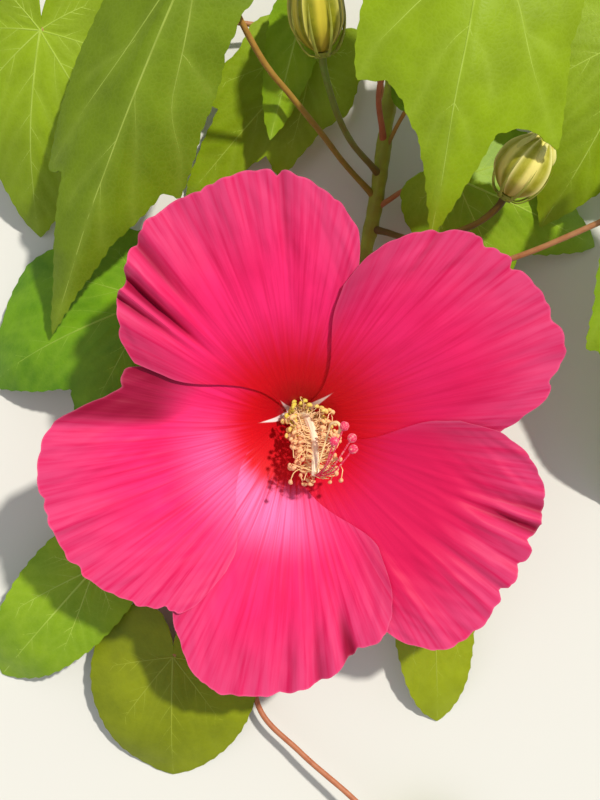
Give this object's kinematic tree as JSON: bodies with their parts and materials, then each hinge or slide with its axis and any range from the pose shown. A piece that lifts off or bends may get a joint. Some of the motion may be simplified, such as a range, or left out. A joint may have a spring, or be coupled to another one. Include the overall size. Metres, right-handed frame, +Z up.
{
  "type": "cut hibiscus flowering branch",
  "caption": "Cut hibiscus branch lying flat, one open five-petalled bloom facing up among lobed leaves and closed buds.",
  "frame": {"origin": "middle of the underside of the whole branch as it lies, on the floor", "axes": "+Y along the branch from its cut end to its tip, +X across it, +Z up from the floor towards the face of the bloom"},
  "size_m": [0.2494, 0.325, 0.0762],
  "materials": {
    "petal": "satin",
    "leaf": "satin",
    "green_bark": "satin",
    "leaf_stalk": "satin",
    "calyx": "matte",
    "stamen": "matte",
    "stigma": "matte"
  },
  "bodies": {
    "root": {"stem": "green_bark", "leaf_upper_left": "leaf", "stalk_upper_left": "leaf_stalk", "leaf_upper_right": "leaf", "stalk_upper_right": "leaf_stalk", "leaf_far_left": "leaf", "stalk_far_left": "leaf_stalk", "leaf_behind_bud": "leaf", "stalk_behind_bud": "leaf_stalk", "leaf_left": "leaf", "stalk_left": "leaf_stalk", "leaf_far_right": "leaf", "stalk_far_right": "leaf_stalk", "leaf_right": "leaf", "stalk_right": "leaf_stalk", "leaf_lower_left": "leaf", "stalk_lower_left": "leaf_stalk", "leaf_low_left": "leaf", "stalk_low_left": "leaf_stalk", "leaf_lower_right": "leaf", "stalk_lower_right": "leaf_stalk", "leaf_foot": "leaf", "stalk_foot": "leaf_stalk", "leaf_shoot": "leaf", "stalk_shoot": "leaf_stalk", "leaf_young": "leaf", "stalk_young": "leaf_stalk", "leaf_stem_side": "leaf", "stalk_stem_side": "leaf_stalk", "petal_top": "petal", "petal_right_upper": "petal", "petal_right_lower": "petal", "petal_bottom": "petal", "petal_left": "petal", "flower_calyx": "calyx", "flower_bracts": "calyx", "flower_stalk": "green_bark", "stamen_column": "stamen", "styles": "stigma", "bud_top": "calyx", "bud_top_bracts": "calyx", "bud_top_stalk": "leaf_stalk", "bud_right": "calyx", "bud_right_bracts": "calyx", "bud_right_stalk": "leaf_stalk"}
  },
  "joints": []
}
